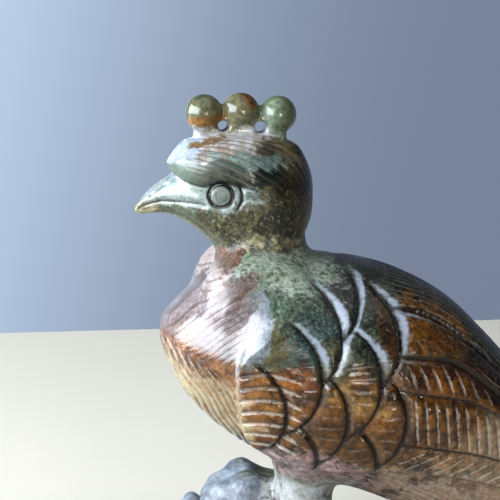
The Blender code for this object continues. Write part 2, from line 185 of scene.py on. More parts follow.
def boulderSkins():
    # each boulder is a lumpy superellipsoid, flattened where it would pass below the table
    skins = []
    half = np.array([rock["length"] / 2, rock["width"] / 2, rock["height"]])
    for number, (x, y, reachX, reachY, top) in enumerate(rock["boulders"]):
        middle, reach = (x * half[0], y * half[1], 0), np.array([reachX, reachY, top]) * half
        points, faces = ballSkin(middle, reach, 25, 40, 4.0, 0.05, number)
        points[:, 2] = np.maximum(points[:, 2], 0)
        skins.append((points, faces))
    return skins


def makeMesh(name, skins):
    # the skins side by side in one mesh, their faces turned outwards
    points, faces = [], []
    start = 0
    for skinPoints, skinFaces in skins:
        points.append(skinPoints)
        faces += [[corner + start for corner in face] for face in skinFaces]
        start += len(skinPoints)
    mesh = bpy.data.meshes.new(name)
    mesh.from_pydata((np.vstack(points) * mm).tolist(), [], faces)
    made = bmesh.new()
    made.from_mesh(mesh)
    bmesh.ops.recalc_face_normals(made, faces=made.faces)
    made.to_mesh(mesh)
    made.free()
    return mesh


def makeObject(name, mesh):
    # an object for the mesh, lamp or camera, put in the scene
    made = bpy.data.objects.new(name, mesh)
    bpy.context.scene.collection.objects.link(made)
    return made


def withModifier(mesh, kind, settings):
    # the mesh as one modifier leaves it
    holder = makeObject("holder", mesh)
    modifier = holder.modifiers.new(kind, kind)
    for setting, value in settings.items():
        setattr(modifier, setting, value)
    made = bpy.data.meshes.new_from_object(holder.evaluated_get(bpy.context.evaluated_depsgraph_get()))
    bpy.data.objects.remove(holder)
    return made


def crestMesh():
    # three balls on a web of stone, drilled through between them
    balls = crest["balls"]
    first, last = balls[0][0], balls[-1][0]
    skins = [ballSkin((x, 0, z), [crest["radius"]] * 3, 25, 40) for x, z in balls]
    webReach = ((last - first) / 2 + crest["webPastBalls"], crest["web"] / 2, crest["webReach"])
    skins.append(ballSkin(((first + last) / 2, 0, crest["webHeight"]), webReach, 41, 64, 7.0))
    turn = np.linspace(0, 2 * np.pi, 32, endpoint=False)[None, :]
    y = np.array([-crest["drill"] / 2, crest["drill"] / 2])[:, None] + 0 * turn
    drills = []
    for (x0, z0), (x1, z1) in zip(balls, balls[1:]):
        x = (x0 + x1) / 2 + crest["hole"] / 2 * np.cos(turn) + 0 * y
        z = (z0 + z1) / 2 - crest["holeDrop"] + crest["hole"] / 2 * np.sin(turn) + 0 * y
        drills.append(closedSkin(np.stack([x, y, z], axis=-1)))
    drill = makeObject("drill", makeMesh("drill", drills))
    settings = {"object": drill, "solver": "EXACT", "use_self": True}
    drilled = withModifier(makeMesh("crest", skins), "BOOLEAN", settings)
    bpy.data.objects.remove(drill)
    return drilled


def meshArrays(mesh):
    # corner places in mm, corner normals, and the two corners of each edge
    points, normals = np.empty(len(mesh.vertices) * 3), np.empty(len(mesh.vertices) * 3)
    edges = np.empty(len(mesh.edges) * 2, int)
    mesh.vertices.foreach_get("co", points)
    mesh.vertices.foreach_get("normal", normals)
    mesh.edges.foreach_get("vertices", edges)
    return points.reshape(-1, 3) / mm, normals.reshape(-1, 3), edges.reshape(-1, 2)


def setPoints(mesh, points):
    # corner places in mm, back into the mesh
    mesh.vertices.foreach_set("co", (points * mm).ravel())
    mesh.update()


def relaxed(values, edges, amount, passes):
    # each value moves towards the mean of its neighbours, again and again, where amount is above 0
    edges = edges[(amount[edges] > 0).any(axis=1)]
    count = len(values)
    degree = np.maximum(np.bincount(edges.ravel(), minlength=count), 1)
    values = values.copy()
    for _ in range(passes):
        for column in values.T:
            total = np.bincount(edges[:, 0], column[edges[:, 1]], count)
            total += np.bincount(edges[:, 1], column[edges[:, 0]], count)
            column += amount * (total / degree - column)
    return values


def valueNoise(points, size, seed):
    # random values on a lattice, blended by a cubic between its corners, from -1 to 1
    place = points / size + 100
    cell = np.floor(place).astype(np.int64)
    t = place - cell
    t = t * t * (3 - 2 * t)
    total = 0
    for corner in range(8):
        offset = np.array([corner & 1, corner >> 1 & 1, corner >> 2])
        key = (cell + offset) @ np.array([73856093, 19349663, 83492791]) + seed * 2654435
        key = (key ^ (key >> 13)) * 1274126177 & 0x7FFFFFFF
        share = np.where(offset, t, 1 - t).prod(axis=1)
        total = total + share * ((key % 10007) / 5003.5 - 1)
    return total


feathers = {
    "wingThickness": 1.3, "depth": 1.05, "trainDepth": 0.6, "spacing": 9.1, "drop": 0.6,
    "wingValley": 2.2, "trainValley": 2.0, "trainSpacing": 8.0, "trainLength": 13.0, "trainHalfWidth": 5.2,
    "creaseShade": 0.36, "edgeSheenAway": (0.65, 0.45), "edgeSheenWidth": (0.24, 0.4),  # least, and what breadth adds
    # rows of round wing feathers: height, x of the first tip, feathers, radius
    "covertRows": (
        (52.4, -11.9, 1, 7.6), (46.6, -15.0, 2, 8.6), (40.4, -18.1, 2, 9.4),
        (34.9, -23.2, 3, 9.6), (26.1, -18.0, 2, 9.6),
    ),
    # edges between the long wing feathers, upper first: x, height
    "flightEdges": (
        ((-12, 57.6), (-6, 55.6), (0, 52.6), (6, 48.4), (12, 43.0), (19, 36.0), (26, 30.0)),
        ((-12, 51.6), (-6.2, 50.3), (-2, 49.2), (3.2, 46.4), (10, 40.6), (18, 32.6), (26, 26.4)),
        ((-12, 44.6), (-6, 43.7), (-2.3, 43.1), (2.8, 42.0), (8, 38.4), (16, 31.4), (26, 24.0)),
        ((-12, 40.2), (-6.9, 39.0), (-3.2, 38.0), (2, 36.9), (7.4, 35.0), (14, 30.4), (26, 21.8)),
        ((-12, 31.0), (-3.1, 29.8), (2.3, 28.8), (7.8, 27.4), (14, 25.0), (22, 21.4), (30, 17.8)),
        ((-12, 25.4), (-3.1, 25.0), (2.3, 24.2), (7.8, 22.8), (14, 20.6), (22, 17.4), (31, 14.4)),
    ),
    "flightTips": (17.0, 20.5, 24.5, 28.0, 31.0),
    # barbs of the long feathers: x share, height share, pitch, strength
    "flightBarbs": (
        (0.5, 0.86, 1.5, 0.4), (0.83, 0.55, 1.6, 0.45), (0.94, 0.35, 1.7, 0.6), (1.0, 0.1, 1.6, 0.9),
        (-0.4, 0.92, 1.3, 0.6),
    ),
    "flightRounding": 9.0,
    # the front of the wing: height, x
    "wingFront": (
        (26, -22.0), (29, -28.0), (33, -30.2), (38, -31.0), (44, -31.0), (50, -29.0), (54, -25.0),
    ),
    # rows of tail feathers: x of the tips, feathers
    "trainRows": ((21.0, 3), (28.0, 4), (35.0, 5), (42.0, 4), (48.0, 5), (53.0, 4)),
}
face = {
    "eye": (-32.2, 67.7), "eyeRing": 1.72, "crescent": 3.25, "lid": 1.5,
    "eyeFlat": (1.65, 1.4),  # flat within the second radius, as the head is beyond the first
    # dark rings painted round the eye, the outer ring and crescent as painted shade in their grooves:
    # radius, and how far out they fade from and to
    "outerRing": (1.85, 0.42, 0.22), "crescentRing": (3.2, 0.3, 0.12), "innerRing": (0.85, 0.22, 0.08),
    "brow": (
        (-41.0, 71.6), (-39.4, 71.0), (-37.3, 69.8), (-34.6, 69.2), (-32.2, 70.0), (-29.0, 69.3),
        (-24.0, 68.0),
    ),
    # the brow's reach up and its rise: at its front, and what the rest adds
    "browReach": (1.3, 1.9), "browRise": (0.7, 0.6),
    "mouth": ((-45.0, 64.9), (-43.3, 65.8), (-41.1, 66.4), (-38.3, 66.4), (-35.6, 66.3), (-33.4, 66.0)),
    "jaw": ((-44.6, 64.6), (-41.6, 65.2), (-39.0, 64.8), (-36.4, 63.5), (-34.0, 61.6)),
    "nostril": ((-42.9, 67.0), (-41.5, 68.4), (-40.2, 69.1)),
    # these three lines: depth, width, x of the end
    "grooves": {"mouth": (0.34, 0.3, -34.4), "jaw": (0.22, 0.26, -34.0), "nostril": (0.25, 0.3, -40.2)},
    # lines over the crown turn about this axis, from the beak's root to the nape
    "crownPole": (-38.6, 70.5), "crownAxis": (0.858, -0.514),
    # swellings behind the eye: x, height, reach along and up, rise
    "bumps": ((-27.4, 68.6, 1.3, 0.9, 0.4), (-24.0, 70.4, 1.3, 0.9, 0.35)),
}
lines = {
    "depth": 0.2, "width": 0.17,  # of the deepest, and share of the pitch
    "belly": 0.95, "cap": 0.8, "back": 1.0, "scale": 1.9, "train": 1.5,  # pitches
    # straight lines: x share, height share, pitch
    "breast": (-0.6, 0.8, 0.9), "breastLow": (-0.86, -0.5, 0.85), "hatch": (-0.42, 0.9, 0.75),
    "breastBorder": (0.57, 22.3),  # between the two on the breast: slope and height at x 0
}


class Lines:
    # engraved lines, one at each whole number of phase: every region adds its own where it is the
    # strongest, and they fade out along the border between two regions
    def __init__(self, count):
        self.phase, self.share, self.second = (np.zeros(count) for _ in range(3))

    def add(self, phase, share):
        self.phase = np.where(share > self.share, phase, self.phase)
        self.second = np.maximum(self.second, np.minimum(share, self.share))
        self.share = np.maximum(share, self.share)

    def settle(self, allowed):
        self.share = self.share * ramp(0, 0.12, self.share - self.second) * allowed

    def height(self):
        away = self.phase - np.round(self.phase)
        return -lines["depth"] * self.share * bell(away, lines["width"])


def slanted(name, x, z):
    # phase of straight lines: shares of x and height, added and divided by the pitch
    shareX, shareZ, pitch = lines[name]
    return (shareZ * z + shareX * x) / pitch


def covertShapes(x, z):
    # circles, front ones first: distance outside the edge, how deep the edge is cut, phase and
    # strength of barbs, and how broad the painted highlight beside the edge is
    tips = []
    for height, first, count, radius in feathers["covertRows"]:
        row = range(count)
        tips += [(first + i * feathers["spacing"], height - feathers["drop"] * i, radius) for i in row]
    shapes = []
    for tipX, tipZ, radius in sorted(tips):
        dx, dz = x - tipX + radius, z - tipZ
        fan = np.arctan2(z - tipZ - 1, x - tipX + 3 * radius) * 3 * radius / lines["scale"]
        around = np.degrees(np.arctan2(dz, dx))
        edge = ramp(72, 46, around)
        high = ramp(43.5, 44.5, z) if tipZ < 43 else np.ones(z.shape)
        strength = 0.2 * high + 0.38 * ramp(43.5, 42.5, z) * (1 - high)
        barbs = np.where(high > 0, slanted("hatch", x, z), fan)
        shapes.append((np.hypot(dx, dz) - radius, edge, barbs, strength, bell(around - 16, 22)))
    return shapes


def flightShapes(x, z):
    # bands between two edges, upper ones first, each closed by a rounded tip
    edges, end, shapes = feathers["flightEdges"], feathers["flightRounding"], []
    for upper, lower, tip, (shareX, shareZ, pitch, strength) in zip(
        edges, edges[1:], feathers["flightTips"], feathers["flightBarbs"]
    ):
        top, bottom = readLine(upper, x), readLine(lower, x)
        middle = (top + bottom) / 2
        rounding = np.sqrt(np.clip(1 - ((x - tip + end) / end) ** 2, 0, 1))
        half = (top - bottom) / 2 * np.where(x < tip - end, 1, rounding)
        away = np.maximum(abs(z - middle) - half, 0.5 * (x - tip))
        shapes.append((away, 0.8 * (z < middle), (shareX * x + shareZ * z) / pitch, strength, 0.2))
    return shapes


def trainShapes(x, around):
    # ellipses in rows down the tail, each with barbs that slant back from its middle line
    long, half, shapes = feathers["trainLength"], feathers["trainHalfWidth"], []
    depth = np.full(x.shape, 0.8)
    for tip, count in feathers["trainRows"]:
        for i in range(count):
            beside = around - (i - (count - 1) / 2) * feathers["trainSpacing"]
            away = np.hypot((x - tip + long) / long, beside / half) - 1
            shapes.append((away * half, depth, (x - 0.9 * abs(beside)) / lines["train"], 0.4, 0.2))
    return shapes


def tiled(shapes, reach):
    # feathers lie over each other like tiles: inside its own edge each one shows, and it sinks
    # towards the edge of the one in front by a power of the share of its reach that is left
    height, valley, creaseShade, edgeSheen, phase, share = (np.zeros(shapes[0][0].shape) for _ in range(6))
    (edgeSheenAway, moreAway), (edgeSheenWidth, moreWidth) = feathers["edgeSheenAway"], feathers["edgeSheenWidth"]
    seen = np.zeros(height.shape, bool)
    for away, depth, barbs, strength, broad in shapes:
        inside = (away < 0) & ~seen
        height = np.where(inside, -0.3 * depth * ramp(-0.8, 0, away) - valley, height)
        phase = np.where(inside, barbs, phase)
        share = np.where(inside, strength * ramp(0, -1.2, away) * ramp(0.5, 0.1, valley), share)
        # painted shade along each feather's edge, in the step down to the one behind
        creaseShade = np.maximum(creaseShade, depth * bell(away - 0.05, feathers["creaseShade"]) * ~seen)
        # a painted highlight beside each edge, where the slope beyond it catches the window
        beside = bell(away - edgeSheenAway - moreAway * broad, edgeSheenWidth + moreWidth * broad)
        edgeSheen = np.maximum(edgeSheen, depth * beside * ~seen)
        seen |= inside
        valley = np.maximum(valley, np.where(away > 0, depth * np.clip(1 - away / reach, 0, 1) ** 1.5, 0))
    height = np.where(seen, height, -valley)
    made = {"height": height, "seen": seen, "creaseShade": creaseShade, "edgeSheen": edgeSheen}
    return {**made, "phase": phase, "share": share}


def wingHeight(x, z, turn, engraved):
    # the wing stands over the body by its thickness, with tiled feathers cut into it
    flight, reach = flightShapes(x, z), feathers["wingValley"]
    wing, long = tiled(covertShapes(x, z) + flight, reach), tiled(flight, reach)
    front, over = x - readLine(feathers["wingFront"], z), z - readLine(feathers["flightEdges"][-1], x)
    onSide = ramp(0.05, 0.75, abs(np.sin(turn)))
    edge = ramp(0, 1, front / (1.4 + 4.6 * ramp(42, 49, z))) * ramp(-0.4, 0.6, over)
    plate = edge * (1 + (long["seen"] - 1) * ramp(5, 15, x)) * onSide
    plate = plate * ramp(59.5, 56.5, z) * (z > 12)
    engraved.add(wing["phase"], wing["share"] * wing["seen"] * plate * ramp(58, 46, z) * ramp(-27, -22, x))
    # broad grooves on the lowest front feather
    broad = ramp(43.5, 42, z) * ramp(-20, -23, x) * ramp(0.6, 1.6, front) * ramp(27, 29, z)
    engraved.add((z + 0.04 * (x + 27) ** 2) / lines["scale"], broad * 1.9)
    height = plate * (feathers["wingThickness"] + feathers["depth"] * wing["height"])
    # the front of the shoulder slopes forward more, into a shallow hollow beside the breast
    slope = 0.8 * edge * ramp(-16, -24, x) - 0.3 * bell(front + 0.5, 2.5) * ramp(54, 49, z)
    height = height + slope * ramp(42, 46, z) * ramp(58, 54, z) * onSide
    # painted highlights: beside the feather edges, and along the wing's front edge
    edgeSheen = plate * wing["edgeSheen"] * (0.4 + 0.6 * ramp(41, 45, z)) * ramp(3, -4, x)
    edgeSheen = np.maximum(edgeSheen, 0.8 * bell(front - 0.6, 0.4) * ramp(48, 44, z) * ramp(27, 30, z))
    return plate, height, plate * wing["creaseShade"], edgeSheen


def headHeight(x, y, z, engraved):
    # a brow that rises as a quarter circle, lower at the front, then eye ring and crescent, lines of
    # mouth, jaw and nostril, and two small swellings behind the eye: bell curves of the distance
    (leastReach, moreReach), (leastRise, moreRise) = face["browReach"], face["browRise"]
    overBrow = z - readLine(face["brow"], x)
    inner = ramp(-39.8, -36.5, x)
    reach = leastReach + moreReach * inner
    rise = np.sqrt(1 - (1 - np.clip(overBrow / reach, 0, 1)) ** 2)
    rise = rise * np.exp(-np.maximum(overBrow - reach, 0) / (1.0 + 2 * inner))
    height = (leastRise + moreRise * inner) * rise * ramp(-22, -28, x) * (z > 66)
    browCrease = bell(overBrow + 0.1, 0.35) * ramp(-24, -28, x) * (z > 66)
    eyeX, eyeZ = face["eye"]
    away = np.hypot(x - eyeX, z - eyeZ)
    turn = np.degrees(np.arctan2(z - eyeZ, x - eyeX))
    ring = bell(away - face["eyeRing"], 0.32)
    crescent = bell(away - face["crescent"], 0.26) * ramp(50, 34, abs(turn))
    lidAway = abs(z - eyeZ) - face["lid"] * ramp(5.2, 2.2, x - eyeX)
    lid = bell(lidAway, 0.25) * ramp(2.6, 3.2, x - eyeX) * ramp(5.8, 5.0, x - eyeX)
    height = height - 0.2 * browCrease - 0.5 * ring - 0.35 * crescent - 0.2 * lid
    height = height + 0.15 * ramp(1.6, 0.4, away)
    for bumpX, bumpZ, reachX, reachZ, rise in face["bumps"]:
        height = height + rise * bell(np.hypot((x - bumpX) / reachX, (z - bumpZ) / reachZ), 1.0)
    # painted shade in the crease under the brow, the eye's ring and crescent grooves and the lid
    creaseShade = np.maximum.reduce([0.8 * browCrease, ring, crescent, 0.5 * lid])
    for name, (depth, width, end) in face["grooves"].items():
        below = z - readLine(face[name], x)
        inLine = (x > face[name][0][0]) * ramp(end + 0.6, end - 0.4, x)
        height = height - depth * bell(below, width) * inLine
        # painted shade in the groove
        creaseShade = np.maximum(creaseShade, 2 * depth * bell(below, width) * inLine)
        if name == "mouth":
            # the lower jaw lies a little deeper than the upper one
            height = height - 0.2 * np.exp(-abs(below) / 1.1) * (below < 0) * inLine
    # lines over the crown: turns about its axis
    (poleX, poleZ), (axisX, axisZ) = face["crownPole"], face["crownAxis"]
    over = (x - poleX) * -axisZ + (z - poleZ) * axisX
    along = (x - poleX) * axisX + (z - poleZ) * axisZ
    around = np.arctan2(abs(y), over)
    cap = ramp(86, 66, np.degrees(around)) * ramp(0.5, 3, along) * ramp(24.5, 21, along) * ramp(77, 76, z)
    cap = cap * np.where(x < -27, ramp(-0.1, 0.5, overBrow), 1)
    onHead = ramp(58.5, 60.5, z) * ramp(79, 77.5, z)
    engraved.add(around * 8 / lines["cap"] + 0.5, (0.2 + 0.36 * ramp(69, 73, z)) * cap * onHead)
    side = onHead * (abs(y) > 0.6)
    # the rise of the brow is left dull, and the face below it slightly; on the rise the same mask lays the
    # brow's green with a painted shade
    dullAndShaded = ramp(reach + 0.3, reach - 0.7, overBrow) * ramp(-26, -30, x) * onHead
    return height * side, creaseShade * side, dullAndShaded * np.where(overBrow > 0, 1, 0.35)


def flatEyes(points):
    # each eye is a flat disc, as far out as the side of the head reaches within it
    x, y, z = points.T
    away = np.hypot(x - face["eye"][0], z - face["eye"][1])
    out = abs(y[(away < 1) & (z > 60)]).max()
    return y + ramp(*face["eyeFlat"], away) * (np.sign(y) * out - y) * (abs(y) > 2)


def addBodyLines(x, z, turn, plate, engraved):
    # nested hooks on the breast, and lines along the belly and the back
    wander = 0.3 * np.sin(0.35 * x + 0.2 * z) + 0.2 * np.sin(0.6 * z - 0.3 * x)
    slope, level = lines["breastBorder"]
    border = z + slope * x - level
    high = border > 0
    nested = np.where(high, slanted("breast", x, z), slanted("breastLow", x, z))
    low = ramp(60, 57, z) * (1 - ramp(0, 0.4, plate)) * ramp(12, 14, z)
    breast = ramp(-24, -29, x) * ramp(57.5, 54.5, z) * ramp(23, 26, z)
    engraved.add(nested + wander, np.where(high, 0.14, 1.3) * breast * low * ramp(0, 0.5, abs(border)))
    belly = ramp(-29, -25, x) * ramp(1.9, 2.1, abs(turn)) * low
    engraved.add(turn * 15 / lines["belly"] + wander, 0.5 * belly)
    back = ramp(-10, -4, x) * ramp(30, 14, x) * ramp(1.15, 0.95, abs(turn)) * ramp(60, 57, z)
    engraved.add(turn * 14 / lines["back"] + wander, 0.48 * back)


def rockHeight(points):
    # three sizes of lattice noise, the largest folded so that it breaks into crags
    total = 0
    for number, (size, strength) in enumerate(rock["lumps"]):
        lump = valueNoise(points, size, 11 + number)
        total = total + strength * (lump if number else abs(lump) - 0.4)
    return rock["crag"] * total


def carving(points):
    # how far the finished stone stands over the smooth form, in mm, and what its finish reads there
    x, y, z = points.T
    engraved = Lines(len(points))
    half, top, bottom = (readLine(bird["body"], x, column) for column in (3, 1, 2))
    turn = np.arctan2(y / half, (z - (top + bottom) / 2) / ((top - bottom) / 2))
    plate, height, creaseShade, edgeSheen = wingHeight(x, z, turn, engraved)
    train = tiled(trainShapes(x, turn * half), feathers["trainValley"])
    onTrain = ramp(9, 15, x) * (1 - ramp(0, 0.3, plate)) * ramp(115, 95, abs(np.degrees(turn))) * (z > 8)
    engraved.add(train["phase"], train["share"] * onTrain)
    height = height + onTrain * feathers["trainDepth"] * train["height"]
    creaseShade = np.maximum(creaseShade, 0.8 * onTrain * train["creaseShade"])
    addBodyLines(x, z, turn, plate, engraved)
    headRelief, headCreaseShade, dullAndShaded = headHeight(x, y, z, engraved)
    onRock = np.clip(ramp(9.5, 7.5, z) + ramp(20, 18.5, z) * ramp(-24.0, -25.5, x), 0, 1)
    onRock = onRock * (1 - (x > 30) * (z > 8.5))
    engraved.settle(1 - onRock)
    # chipped stone round the root of the neck
    ragged = bell(z - 60.3, 1.3) * ramp(-31, -28, x) * (abs(y) > 0.1)
    height = height + ragged * 0.2 * (valueNoise(points, 1.7, 5) + 0.7 * valueNoise(points, 0.6, 6) - 0.5)
    height = (height + engraved.height()) * (1 - onRock) + headRelief
    height = height + rockHeight(points) * onRock * (z > 0.05)
    creaseShade = np.maximum(creaseShade * (1 - onRock), headCreaseShade)
    finish = {"linePhase": engraved.phase, "lineShare": engraved.share, "onRock": onRock, "dullAndShaded": dullAndShaded}
    return height, {**finish, "creaseShade": creaseShade, "edgeSheen": edgeSheen * (1 - onRock)}


def fillets(points):
    # how much each point is relaxed: most in the inner corners at the neck, the legs and the beak
    x, y, z = points.T
    neck = ramp(44, 52, z) * ramp(64, 61, z) * ramp(-41, -38, x) * ramp(-6, -10, x)
    legRoots = ramp(25, 20, z) * ramp(-34, -30, x) * ramp(-4, -9, x)
    return 0.6 * np.clip(neck + 0.6 * legRoots, 0, 1)


fineness = {"voxel": 0.24, "triangles": 195000, "quickVoxel": 0.45, "quickTriangles": 60000}


def carveStone():
    # forms fused by voxels, inner corners relaxed, carving raised, then thinned to what the shape needs
    voxel = fineness["voxel"]
    skins = [
        crosswiseSkin(bird["body"], 8, 96, 2.1), levelSkin(bird["head"], 8, 72, 2.1),
        crosswiseSkin(bird["beak"], 8, 48, 2.1), *shoulderSkins(), legsSkin(), *boulderSkins(),
    ]
    raw = makeMesh("raw", skins)
    joined = bmesh.new()
    joined.from_mesh(raw)
    joined.from_mesh(crestMesh())
    joined.to_mesh(raw)
    joined.free()
    stone = withModifier(raw, "REMESH", {"mode": "VOXEL", "voxel_size": voxel * mm})
    points, _, edges = meshArrays(stone)
    print("forms fused:", len(points), "corners")
    points = relaxed(points, edges, np.full(len(points), 0.5), 4)
    points = relaxed(points, edges, fillets(points), int(30 * (0.5 / voxel) ** 2))
    setPoints(stone, points)
    points, normals, edges = meshArrays(stone)
    height, finish = carving(points)
    for name, values in finish.items():
        stone.attributes.new(name, "FLOAT", "POINT").data.foreach_set("value", values)
    height = relaxed(height[:, None], edges, np.full(len(points), 0.5), 1)
    points = points + normals * height
    points[:, 1] = flatEyes(points)
    points[:, 2] = np.maximum(points[:, 2], 0)
    setPoints(stone, points)
    print("carving raised")
    wanted = fineness["triangles"]
    return withModifier(stone, "DECIMATE", {"ratio": min(1.0, wanted / (2 * len(stone.polygons)))})


peacock = makeObject("peacockCarving", carveStone())
peacock.data.shade_smooth()
print("stone carved:", len(peacock.data.polygons), "faces")


class Varying:
    # a number, place or colour that varies over the surface: Python's operators add the Math nodes
    def __init__(self, finish, socket):
        self.finish, self.socket = finish, socket

    def math(self, kind, *values):
        made = self.finish.node("ShaderNodeMath", {"operation": kind}, values)
        return Varying(self.finish, made.outputs[0])

    def __add__(self, other):
        return self.math("ADD", self, other)

    def __sub__(self, other):
        return self.math("SUBTRACT", self, other)

    def __rsub__(self, other):
        return self.math("SUBTRACT", other, self)

    def __mul__(self, other):
        return self.math("MULTIPLY", self, other)

    def __truediv__(self, other):
        return self.math("DIVIDE", self, other)

    def __pow__(self, other):
        return self.math("POWER", self, other)

    def __abs__(self):
        return self.math("ABSOLUTE", self)

    __radd__ = __add__
    __rmul__ = __mul__


class Finish:
    # a material or a world, with short ways to add its nodes
    def __init__(self, owner, shader):
        owner.use_nodes = True
        self.owner, self.tree = owner, owner.node_tree
        self.shader = self.tree.nodes[shader]

    def node(self, kind, settings, values):
        # settings first, then each socket by place or name: a link or a plain value
        made = self.tree.nodes.new(kind)
        for setting, value in settings.items():
            setattr(made, setting, value)
        for socket, value in values.items() if isinstance(values, dict) else enumerate(values):
            value = getattr(value, "socket", value)
            if isinstance(value, bpy.types.NodeSocket):
                self.tree.links.new(value, made.inputs[socket])
            else:
                made.inputs[socket].default_value = value
        return made

    def noise(self, place, size, detail=3.0, roughness=0.55, output=0):
        # size is that of the largest spots, in mm
        values = {"Vector": place, "Scale": 1 / (size * mm), "Detail": detail, "Roughness": roughness}
        return Varying(self, self.node("ShaderNodeTexNoise", {}, values).outputs[output])

    def ramp(self, low, high, value):
        # 0 at low, 1 at high, a cubic with level ends between them
        values = {"Value": value, "From Min": low, "From Max": high}
        made = self.node("ShaderNodeMapRange", {"interpolation_type": "SMOOTHSTEP"}, values)
        return Varying(self, made.outputs[0])

    def attribute(self, name):
        # what the carving left at each corner
        made = self.node("ShaderNodeAttribute", {"attribute_name": name}, {})
        return Varying(self, made.outputs["Fac"])

    def moved(self, place, amount, shift):
        # place pushed by a colour noise, up to amount mm each way
        kind = "ShaderNodeVectorMath"
        centred = self.node(kind, {"operation": "SUBTRACT"}, (shift, (0.5, 0.5, 0.5)))
        values = {0: centred.outputs[0], "Scale": 2 * amount * mm}
        scaled = self.node(kind, {"operation": "SCALE"}, values)
        added = self.node(kind, {"operation": "ADD"}, (place, scaled.outputs[0]))
        return Varying(self, added.outputs[0])

    def split(self, place):
        # x, y and height in mm
        parts = self.node("ShaderNodeSeparateXYZ", {}, (place,))
        return [Varying(self, parts.outputs[i]) / mm for i in range(3)]

    def mix(self, share, first, second, kind="MIX"):
        # the first colour where share is 0, the second where it is 1
        made = self.node("ShaderNodeMix", {"data_type": "RGBA", "blend_type": kind}, {0: share})
        for socket, value in ((6, first), (7, second)):
            if isinstance(value, Varying):
                self.tree.links.new(value.socket, made.inputs[socket])
            else:
                made.inputs[socket].default_value = linear(value)
        return Varying(self, made.outputs[2])

    def feed(self, socket, value):
        # into a socket of the shader itself
        self.tree.links.new(value.socket, self.shader.inputs[socket])

    def bump(self, height, distance, strength):
        # the surface leans as a relief of this height would, where 1 is the distance in mm
        values = {"Height": height, "Distance": distance * mm, "Strength": strength}
        return Varying(self, self.node("ShaderNodeBump", {}, values).outputs[0])


def linear(colour):
    # screen colour from 0 to 255, made linear
    share = np.array(colour) / 255
    return (*np.where(share < 0.04045, share / 12.92, ((share + 0.055) / 1.055) ** 2.4), 1.0)


